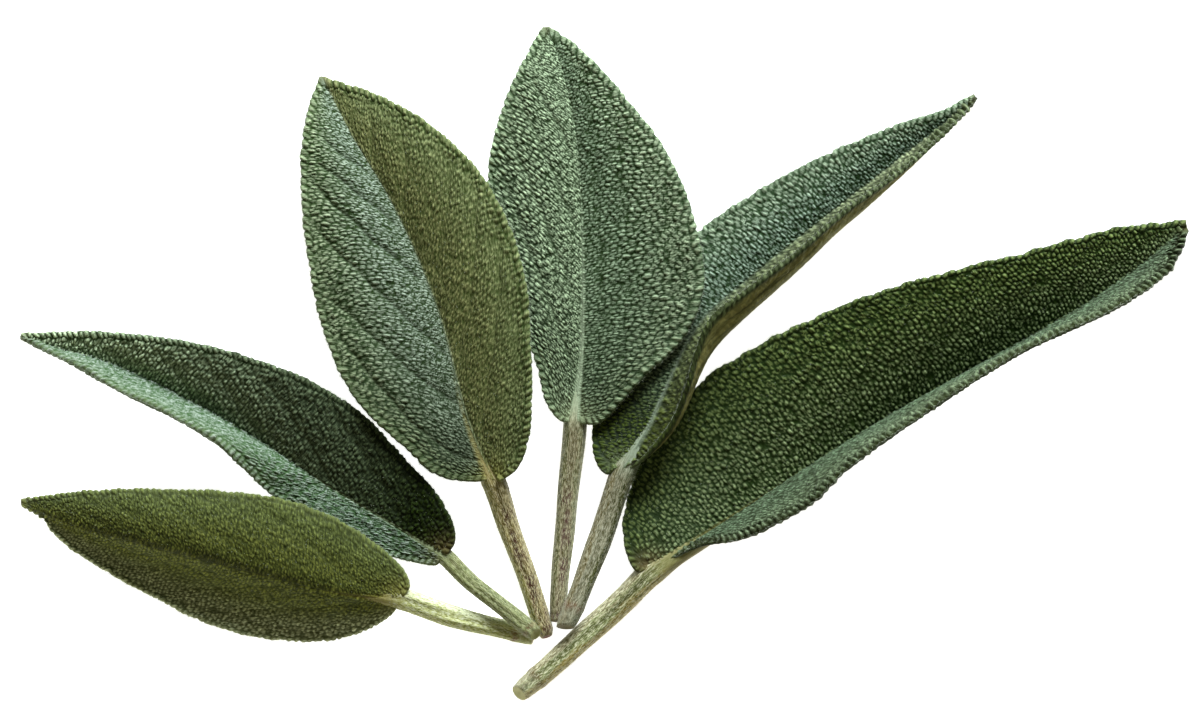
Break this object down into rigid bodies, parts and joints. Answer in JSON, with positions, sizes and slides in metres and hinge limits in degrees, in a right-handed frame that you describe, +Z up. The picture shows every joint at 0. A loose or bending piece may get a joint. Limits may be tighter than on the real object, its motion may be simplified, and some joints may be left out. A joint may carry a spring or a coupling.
{
  "type": "sage bunch",
  "caption": "Bunch of cut sage: pebbled blades with scalloped edges, each on its own stalk, fanned out and lying flat with the cut ends together.",
  "frame": {"origin": "on the surface that the bunch lies on, below the middle of the fan", "axes": "+Z up from the surface, +X along the fan's width towards the longest leaf, +Y away from the cut ends towards the middle leaves' tips"},
  "size_m": [0.1405, 0.0814, 0.0118],
  "materials": {
    "blade_dark": "matte felted leaf, dark green furrows with grey-green crests",
    "blade_grey_green": "matte felted leaf, grey-green with pale crests and darker furrows",
    "stalk_green": "satin yellow-green leaf stalk with fine lengthwise streaks and pale down",
    "stalk_tan": "satin grey-tan leaf stalk with purple-brown lengthwise streaks"
  },
  "bodies": {
    "root": {"leaf_1_blade": "blade_dark", "leaf_1_stalk": "stalk_green", "leaf_2_blade": "blade_dark", "leaf_2_stalk": "stalk_green", "leaf_3_blade": "blade_grey_green", "leaf_3_stalk": "stalk_tan", "leaf_4_blade": "blade_grey_green", "leaf_4_stalk": "stalk_tan", "leaf_5_blade": "blade_grey_green", "leaf_5_stalk": "stalk_tan", "leaf_6_blade": "blade_dark", "leaf_6_stalk": "stalk_green"}
  },
  "joints": []
}
